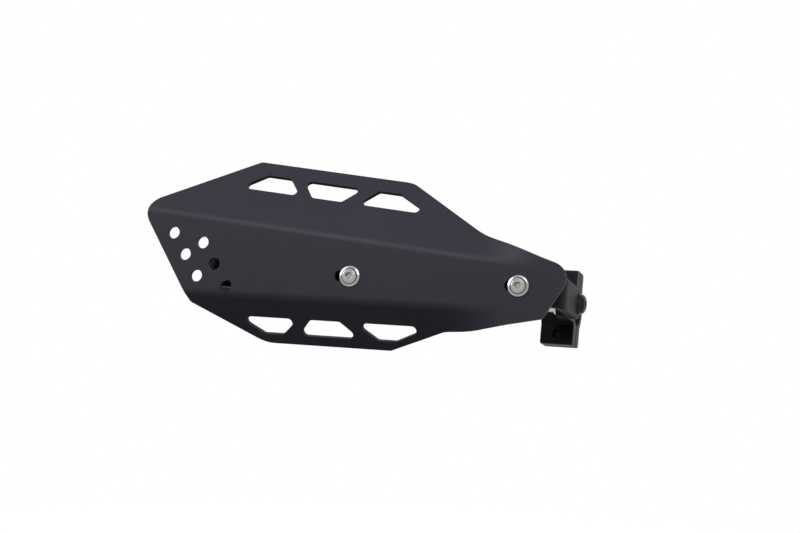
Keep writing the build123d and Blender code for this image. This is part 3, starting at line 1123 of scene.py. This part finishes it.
@dataclass
class Studio:
    """Pale floor, soft lights and the camera.

    Attributes:
        floor_height: Height of the floor, in metres.
        floor_size: Width of the floor, in metres.
        floor_grey: Grey of the floor for diffuse light.
        floor_white: White of the floor where it is seen.
        shadow_reach: Distances between which the shadow fades out, in metres.
        glow_share: Share of the floor that glows at those two distances.
        surround_light: Strength of the surround for diffuse light and where it is seen.
        softboxes: The lamps.
        view_azimuth: Turn of the camera round the guard.
        view_elevation: Height of the camera as an angle.
        view_roll: Turn of the camera about its own axis.
        view_distance: Distance from the camera to the target, in metres.
        view_target: The point in the middle of the picture, in metres.
        focal_pixels: Focal length, in pixels of a picture that is image_width wide.
        image_width: That width, in pixels.
        sensor: Width of the sensor, in millimetres.
    """

    floor_height: float = -0.32
    floor_size: float = 14.0
    floor_grey: float = 0.06
    floor_white: float = 0.9
    shadow_reach: Span = (0.3, 1.1)
    glow_share: Span = (0.2, 1.0)
    surround_light: Span = (0.05, 1.0)
    softboxes: tuple[Softbox, ...] = SOFTBOXES
    view_azimuth: float = math.radians(17.0)
    view_elevation: float = math.radians(-8.0)
    view_roll: float = math.radians(5.582)
    view_distance: float = 1.0
    view_target: Place = (-86.3 * MM, -100.0 * MM, 8.1 * MM)
    focal_pixels: float = 1580.0
    image_width: float = 800.0
    sensor: float = 36.0

    def build(self) -> None:
        """Builds the floor, the world, the lights and the camera."""
        self.floor()
        self.world()
        for softbox in self.softboxes:
            softbox.build()
        self.camera()

    def floor(self) -> None:
        """Builds a pale floor that keeps a soft shadow."""
        mesh = bpy.data.meshes.new("floor")
        half = self.floor_size / 2
        corners = [(-half, -half), (half, -half), (half, half), (-half, half)]
        mesh.from_pydata([(x, y, self.floor_height) for x, y in corners], [], [(0, 1, 2, 3)])
        floor = bpy.data.objects.new("floor", mesh)
        bpy.context.scene.collection.objects.link(floor)
        build = FinishBuilder("pale_floor")
        build.plain(Roughness=0.9, Specular_IOR_Level=0.0)
        seen = build.seen_directly()
        build.colour(build.blend(seen, (self.floor_grey,) * 3, (self.floor_white,) * 3))
        glow = build.node("ShaderNodeEmission")
        glow.inputs["Color"].default_value = WHITE
        mixed = build.node("ShaderNodeMixShader")
        pale = build.remap(build.length(build.place()), self.shadow_reach, self.glow_share)
        build.feed(mixed.inputs["Fac"], build.maths("MULTIPLY", seen, pale))
        build.feed(mixed.inputs[1], build.shader.outputs["BSDF"])
        build.feed(mixed.inputs[2], glow.outputs["Emission"])
        build.feed(build.tree.nodes["Material Output"].inputs["Surface"], mixed.outputs["Shader"])
        mesh.materials.append(build.material)

    def world(self) -> None:
        """Builds a white surround with a lower level of diffuse light."""
        world = bpy.data.worlds.new("studio")
        world.use_nodes = True
        bpy.context.scene.world = world
        build = NodeBuilder(world.node_tree)
        background = world.node_tree.nodes["Background"]
        background.inputs["Color"].default_value = WHITE
        strength = build.remap(build.seen_directly(), (0.0, 1.0), self.surround_light)
        build.feed(background.inputs["Strength"], strength)

    def camera(self) -> None:
        """Places the camera at the photograph's viewing angle."""
        back = Vector((
            math.sin(self.view_azimuth) * math.cos(self.view_elevation),
            -math.cos(self.view_azimuth) * math.cos(self.view_elevation),
            math.sin(self.view_elevation),
        ))
        level = Vector((math.cos(self.view_azimuth), math.sin(self.view_azimuth), 0.0))
        upright = level.cross(-back)
        right = math.cos(self.view_roll) * level + math.sin(self.view_roll) * upright
        up = math.cos(self.view_roll) * upright - math.sin(self.view_roll) * level
        place = Vector(self.view_target) + back * self.view_distance
        turn = Matrix((right, up, back)).transposed().to_4x4()
        data = bpy.data.cameras.new("camera")
        data.sensor_width = self.sensor
        data.lens = self.focal_pixels / self.image_width * self.sensor
        camera = bpy.data.objects.new("camera", data)
        camera.matrix_world = Matrix.Rotation(-LEAN, 4, "X") @ Matrix.Translation(place) @ turn
        bpy.context.scene.collection.objects.link(camera)
        bpy.context.scene.camera = camera


def main() -> None:
    """Builds the guard's sub-assemblies in order, then the floor, the light and the camera."""
    logging.basicConfig(level=logging.INFO, format="%(name)s: %(message)s")
    bpy.context.scene.view_settings.view_transform = "Standard"
    effects = Effects()
    for assembly in (GuardPlate, PlateFixings, SupportBar, HandlebarClamp, BarEnd):
        for piece in assembly(effects).build():
            LOG.info("%s: %s", piece.name, piece.active_material.name)
    Studio().build()


if __name__ == "__main__":
    main()
